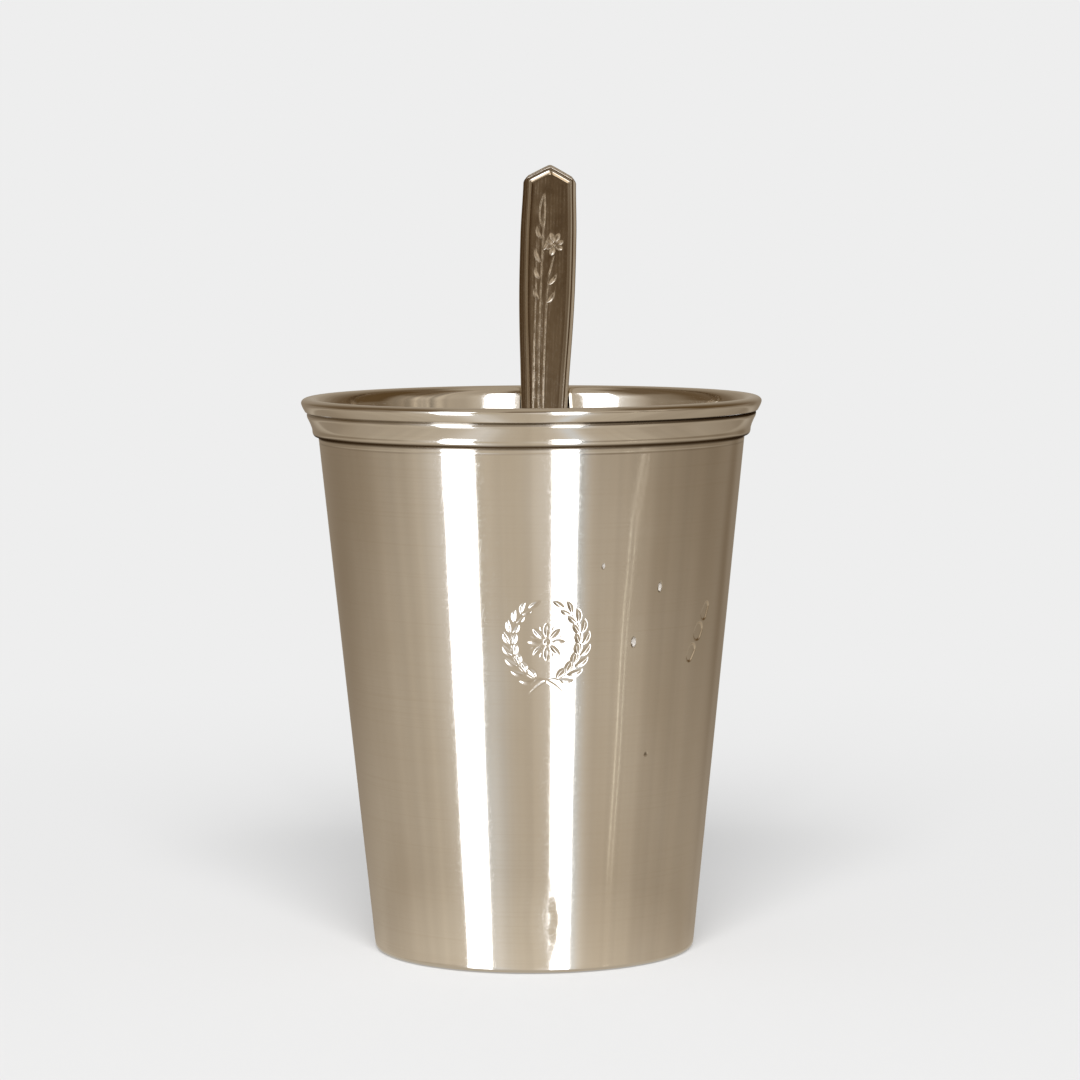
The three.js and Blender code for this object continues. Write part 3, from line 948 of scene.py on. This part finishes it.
# Studio: pale floor and background, tall soft strips, and dim surroundings that the metal mirrors.
# Metres here, bearings and elevations in degrees from the middle of the tumbler.

PALE = (0.855, 0.855, 0.855)
AMBIENT = 0.4
MIDDLE_Z = 0.045

FLOOR_HALF = 40.0
FLOOR_Z = -0.0002
FLOOR_TONE = (0.66, 0.66, 0.66)
# Distances between which the floor turns into the background, and its share before that
FLOOR_FADE = (0.08, 0.34)
FLOOR_LEAST = 0.25

KEY_SIZE = (3.8, 2.6)
KEY_PLACE = (0.0, -4.86, 3.52)
KEY_ENERGY = 581.0

# Strips: bearing, width, lowest and highest elevation, distance, level
STRIPS = {
    "strip_left": (-39.7, 18.5, -30.0, 0.0, 0.9, 2.8),
    "strip_right": (18.1, 14.3, -30.0, 0.0, 0.9, 2.8),
    "strip_left_top": (-40.3, 20.5, -2.0, 42.0, 0.92, 2.8),
    "strip_right_top": (18.7, 17.0, -2.0, 42.0, 0.92, 2.8),
    "strip_back_left": (-165.0, 12.0, -62.0, -21.0, 1.2, 1.8),
    "strip_back_right": (160.0, 9.0, -62.0, -21.0, 1.2, 1.8),
}
STRIP_COLOUR = (0.82, 0.9, 1.04)

GLOW_TONE = (0.11, 0.103, 0.093)
GLOW_PLACE = (-0.003, -0.006, -0.0001)
CONTACT_TONE = (0.5, 0.455, 0.39)
CONTACT_PLACE = (0, 0, -0.00005)

# Streak: its bearings and elevations, and the shift and width of its two lines
STREAK_TRACK = [(63.0, -11.0), (56.5, -13.3), (54.0, -15.5), (53.5, -18.0), (51.0, -21.5)]
STREAK_LINES = [(0.0, 0.5), (3.0, 0.35)]
STREAK_DISTANCE = 0.9
STREAK_TONE = (1.15, 1.06, 0.92)

ROOM = (0.535, 0.472, 0.39)
ROOM_DARK = (0.112, 0.069, 0.031)
ROOM_RADIUS = 6.0
# How dark the room is, by bearing: at middle height, below it, above it, and lowest
ROOM_STOPS = [
    (-180, 0.3, 0.1, 0.3, 0.1),
    (-165, 0.62, 0.12, 0.50, 0.52),
    (-138, 0.66, 0.19, 0.85, 0.55),
    (-110, 0.62, 0.24, 0.95, 0.32),
    (-78, 0.46, 0.14, 0.62, 0.14),
    (-56, 0.13, 0.02, 0.0, 0.0),
    (-36, 0, 0, 0, 0),
    (14, 0.05, 0.02, 0.0, 0.0),
    (30, 0.42, 0.08, 0.0, 0.03),
    (45, 0.59, 0.17, 0.16, 0.09),
    (63, 0.54, 0.26, 0.0, 0.13),
    (80, 0.64, 0.43, 0.55, 0.34),
    (96, 0.71, 0.42, 1.0, 0.37),
    (114, 0.72, 0.38, 1.0, 0.38),
    (134, 0.66, 0.33, 0.92, 0.50),
    (145, 0.78, 0.28, 0.80, 0.60),
    (156, 0.64, 0.21, 0.65, 0.48),
    (165, 0.64, 0.16, 0.50, 0.35),
    (180, 0.3, 0.1, 0.3, 0.1),
]
HALO_COLOUR = (0.84, 0.93, 1.1)
SPILL_COLOUR = (0.08, 0.48, 1.0)


def stage_object(name, points, faces, location, hidden_from):
    """Something beside the part that some rays don't see; gives the graph of its material."""
    mesh = bpy.data.meshes.new(name)
    mesh.from_pydata(points, [], faces)
    obj = bpy.data.objects.new(name, mesh)
    obj.location = location
    bpy.context.scene.collection.objects.link(obj)
    for kind in hidden_from:
        setattr(obj, "visible_" + kind, False)
    material = bpy.data.materials.new(name)
    material.use_nodes = True
    material.node_tree.nodes.remove(material.node_tree.nodes["Principled BSDF"])
    material.cycles.emission_sampling = "NONE"
    mesh.materials.append(material)
    return Graph(material.node_tree)


def seen_in_metal(name, points, faces, location=(0, 0, 0)):
    """A stage object that only the metal mirrors."""
    others = ("camera", "diffuse", "transmission", "volume_scatter", "shadow")
    return stage_object(name, points, faces, location, others)


def build_world():
    """White light on the floor, a pale background for what is seen or mirrored."""
    world = bpy.data.worlds.new("studio")
    bpy.context.scene.world = world
    world.use_nodes = True
    graph = Graph(world.node_tree)
    ambient = world.node_tree.nodes["Background"]
    graph.feed(ambient.inputs["Color"], WHITE)
    graph.feed(ambient.inputs["Strength"], AMBIENT)
    pale = graph.add("Background", PALE, 1.0)[0]
    path = graph.node("LightPath").outputs
    seen = graph.maths("MAXIMUM", path["Is Camera Ray"], path["Is Glossy Ray"])
    seen = graph.maths("MAXIMUM", seen, path["Is Transmission Ray"])
    graph.surface(graph.add("MixShader", seen, ambient.outputs[0], pale)[0])


def build_floor():
    signs = ((-1, -1), (1, -1), (1, 1), (-1, 1))
    corners = [(x * FLOOR_HALF, y * FLOOR_HALF, 0) for x, y in signs]
    graph = stage_object("floor", corners, [(0, 1, 2, 3)], (0, 0, FLOOR_Z), ("glossy", "shadow"))
    far = graph.add("VectorMath", graph.place(), operation="LENGTH")["Value"]
    share = graph.eased(far, *FLOOR_FADE, FLOOR_LEAST, 1.0)
    lit = graph.add("BsdfDiffuse", FLOOR_TONE)[0]
    graph.surface(graph.add("MixShader", share, lit, graph.emission(PALE))[0])


def build_strip(name, bearing, width, low, high, distance, level):
    """A tall soft light that only the metal mirrors."""
    z_low = MIDDLE_Z + distance * math.tan(math.radians(low))
    z_high = MIDDLE_Z + distance * math.tan(math.radians(high))
    lamp = bpy.data.lights.new(name, "AREA")
    lamp.shape = "RECTANGLE"
    lamp.size = 2 * distance * math.tan(math.radians(width / 2))
    lamp.size_y = z_high - z_low
    lamp.energy = level * math.pi * lamp.size * lamp.size_y
    lamp.color = STRIP_COLOUR
    obj = bpy.data.objects.new(name, lamp)
    a = math.radians(bearing)
    obj.location = (distance * math.sin(a), -distance * math.cos(a), (z_low + z_high) / 2)
    obj.rotation_euler = (math.pi / 2, 0, a)
    obj.visible_camera = False
    obj.visible_diffuse = False
    bpy.context.scene.collection.objects.link(obj)


def build_key():
    """Broad soft light from the front, for the floor and the shadow behind the cup."""
    lamp = bpy.data.lights.new("key", "AREA")
    lamp.shape = "RECTANGLE"
    lamp.size, lamp.size_y = KEY_SIZE
    lamp.energy = KEY_ENERGY
    obj = bpy.data.objects.new("key", lamp)
    obj.location = KEY_PLACE
    obj.rotation_euler = Vector(obj.location).to_track_quat("Z", "Y").to_euler()
    obj.visible_camera = False
    obj.visible_glossy = False
    bpy.context.scene.collection.objects.link(obj)


def flat_ring(inner, outer, count=96):
    """Points and faces of a flat ring round the axis, from radii in millimetres."""
    angles = [2 * math.pi * j / count for j in range(count)]
    points = [(r * MM * math.sin(a), -r * MM * math.cos(a), 0.0)
              for r in (inner, outer) for a in angles]
    faces = [(j, count + j, count + (j + 1) % count, (j + 1) % count) for j in range(count)]
    return points, faces


def build_glow():
    """The lit floor close to the foot, which brightens the lowest part of the wall."""
    graph = seen_in_metal("glow", *flat_ring(20.0, 58.0), GLOW_PLACE)
    place = graph.place()
    far = graph.add("VectorMath", place, operation="LENGTH")["Value"]
    fade = graph.ranged(far, 0.024, 0.058, 1.0, 0.0)
    front = graph.ranged(graph.add("SeparateXYZ", place)["Y"], -0.01, 0.016, 1.0, 0.0)
    shine = graph.emission(GLOW_TONE, graph.maths("MULTIPLY", fade, front))
    graph.surface(graph.add("AddShader", shine, graph.add("BsdfTransparent")[0])[0])


def build_contact():
    """The shaded floor right under the foot, which its rounded edge mirrors."""
    graph = seen_in_metal("contact", *flat_ring(20.0, 25.3), CONTACT_PLACE)
    graph.surface(graph.emission(CONTACT_TONE))


def build_streak():
    """The edge of a pale sheet, mirrored as a thin slanting line on the right of the wall."""
    def at(bearing, rise):
        a, e = math.radians(bearing), math.radians(rise)
        return (STREAK_DISTANCE * math.sin(a), -STREAK_DISTANCE * math.cos(a),
                MIDDLE_Z + STREAK_DISTANCE * math.tan(e))

    points, faces = [], []
    for shift, width in STREAK_LINES:
        first = len(points)
        for bearing, rise in STREAK_TRACK:
            points += [at(bearing + shift, rise), at(bearing + shift + width, rise)]
        faces += [(i, i + 1, i + 3, i + 2) for i in range(first, len(points) - 2, 2)]
    graph = seen_in_metal("streak", points, faces)
    graph.surface(graph.emission(STREAK_TONE))


def room_darkness(graph, bearing, height):
    """0 where the room is light, 1 where it is darkest: at the sides, the back and high up."""
    maths, ease, blend = graph.maths, graph.eased, graph.blend
    ramp = graph.node("ValToRGB")
    ramp.color_ramp.interpolation = "EASE"
    elements = ramp.color_ramp.elements
    while len(elements) < len(ROOM_STOPS):
        elements.new(0.5)
    for element, (degrees, *levels) in zip(elements, ROOM_STOPS):
        element.position = 0.5 + degrees / 360
        element.color = levels
    graph.feed(ramp.inputs["Fac"], maths("MULTIPLY_ADD", bearing, 1 / (2 * math.pi), 0.5))
    middle, below, above = graph.add("SeparateColor", ramp.outputs["Color"])

    walls = blend(ease(height, -0.29, -0.245, 0.0, 1.0), ramp.outputs["Alpha"], below)
    walls = blend(ease(height, -0.285, -0.13, 0.0, 1.0), walls, middle)
    walls = blend(ease(height, 0.0, 0.2, 0.0, 1.0), walls, above)
    walls = maths("MULTIPLY", walls, ease(height, 0.8, 0.95, 1.0, 0.0))

    around = maths("ABSOLUTE", bearing)

    def by_bearing(start, stop, first, last):
        return ease(around, math.radians(start), math.radians(stop), first, last)

    flanks = maths("MULTIPLY", by_bearing(45, 72, 0.0, 1.0), by_bearing(140, 165, 0.9, 0.0))
    front = maths("MULTIPLY", by_bearing(11, 26, 1.0, 0.0), 0.9)
    shade = maths("MAXIMUM", maths("MAXIMUM", front, flanks), 0.24)
    shade = blend(ease(height, 0.88, 0.96, 0.0, 1.0), shade, 0.26)
    raised = maths("SUBTRACT", height, by_bearing(35, 60, 0.0, -0.08))
    ceiling = maths("MULTIPLY", ease(raised, 0.33, 0.75, 0.0, 1.0), shade)
    return maths("MAXIMUM", walls, ceiling)


def room_folds(graph, bearing, height):
    """About 1: faint upright folds in front, and mottling on the right that the rim mirrors."""
    maths, ease = graph.maths, graph.eased
    folds = graph.node("TexNoise", noise_dimensions="1D")
    folds.inputs["Scale"].default_value = 17.0
    folds.inputs["Detail"].default_value = 3.0
    graph.feed(folds.inputs["W"], maths("SINE", maths("MULTIPLY", bearing, 0.5)))
    in_front = ease(maths("ABSOLUTE", bearing), math.radians(70), math.radians(150), 1.0, 0.0)
    mottled = maths("MULTIPLY", graph.hill(bearing, 66, 13), ease(height, 0.04, 0.14, 0.0, 0.6))
    depth = maths("ADD", maths("MULTIPLY", in_front, 0.045), mottled)
    return maths("MULTIPLY_ADD", ease(folds.outputs["Fac"], 0.3, 0.7, -1.0, 1.0), depth, 1.0)


def strip_light(graph, bearing, height):
    """Levels of the soft halo round the strips and of the cool light beside them."""
    maths, ease, hill = graph.maths, graph.eased, graph.hill
    slant = maths("MULTIPLY", ease(height, -0.40, -0.24, -0.5, 0.5), math.radians(12))
    slanted = maths("ADD", bearing, slant)
    halo = maths("ADD", hill(slanted, -41.0, 12.5), hill(slanted, 17.5, 12.0))
    halo = maths("MULTIPLY", halo, ease(height, 0.05, 0.2, 0.22, 0.5))
    halo = maths("MULTIPLY", halo, ease(height, 0.3, 0.6, 1.0, 0.0))

    midway = maths("MULTIPLY", ease(height, -0.33, -0.275, 1.0, 0.0),
                   ease(height, -0.375, -0.335, 0.35, 1.0))
    between = maths("MULTIPLY", hill(bearing, -24, 7), maths("MULTIPLY", midway, 0.055))
    halo = maths("ADD", halo, between)

    left = maths("MULTIPLY", hill(bearing, -27.0, 12.0), maths("MULTIPLY", midway, 0.12))
    right = maths("MULTIPLY", hill(bearing, 26.0, 5.0), 0.17)
    spill = maths("MULTIPLY", maths("ADD", left, right), ease(height, -0.15, 0.0, 1.0, 0.0))
    return halo, spill


def build_surround():
    """A dim warm room, seen only in the metal, with the soft light round the strips."""
    rings, columns = 24, 48
    points = []
    for i in range(rings + 1):
        e = math.pi * (i / rings - 0.5)
        across, z = ROOM_RADIUS * math.cos(e), MIDDLE_Z + ROOM_RADIUS * math.sin(e)
        for j in range(columns):
            a = 2 * math.pi * j / columns
            points.append((across * math.sin(a), -across * math.cos(a), z))
    graph = seen_in_metal("surround", points, tube_faces(rings + 1, columns))

    way = graph.add("VectorMath", graph.place(), operation="NORMALIZE")[0]
    way = graph.add("SeparateXYZ", way)
    height = way["Z"]
    bearing = graph.maths("ARCTAN2", way["X"], graph.maths("MULTIPLY", way["Y"], -1.0))
    tint = graph.mixed(room_darkness(graph, bearing, height), ROOM, ROOM_DARK)
    halo, spill = strip_light(graph, bearing, height)
    light = graph.emission(tint, room_folds(graph, bearing, height))
    light = graph.add("AddShader", light, graph.emission(HALO_COLOUR, halo))[0]
    graph.surface(graph.add("AddShader", light, graph.emission(SPILL_COLOUR, spill))[0])


build_world()
build_floor()
build_key()
build_surround()
build_glow()
build_contact()
build_streak()
for name, numbers in STRIPS.items():
    build_strip(name, *numbers)


# Camera, as the photograph was taken: place in millimetres, angles in degrees

LENS = 133.66
SENSOR = 36.0
CAMERA_PLACE = (1.2, -609.6, 115.71)
CAMERA_DIP = 5.0146
CAMERA_ROLL = -0.31


def build_camera():
    data = bpy.data.cameras.new("camera")
    data.sensor_fit = "HORIZONTAL"
    data.sensor_width = SENSOR
    data.lens = LENS
    data.clip_start = 0.01
    data.clip_end = 100.0
    camera = bpy.data.objects.new("camera", data)
    aim = Matrix.Rotation(math.radians(90 - CAMERA_DIP), 4, "X")
    aim = aim @ Matrix.Rotation(math.radians(CAMERA_ROLL), 4, "Z")
    camera.matrix_world = Matrix.Translation(Vector(CAMERA_PLACE) * MM) @ aim
    bpy.context.scene.collection.objects.link(camera)
    bpy.context.scene.camera = camera


build_camera()
bpy.context.scene.view_settings.view_transform = "Standard"

bpy.context.view_layer.update()
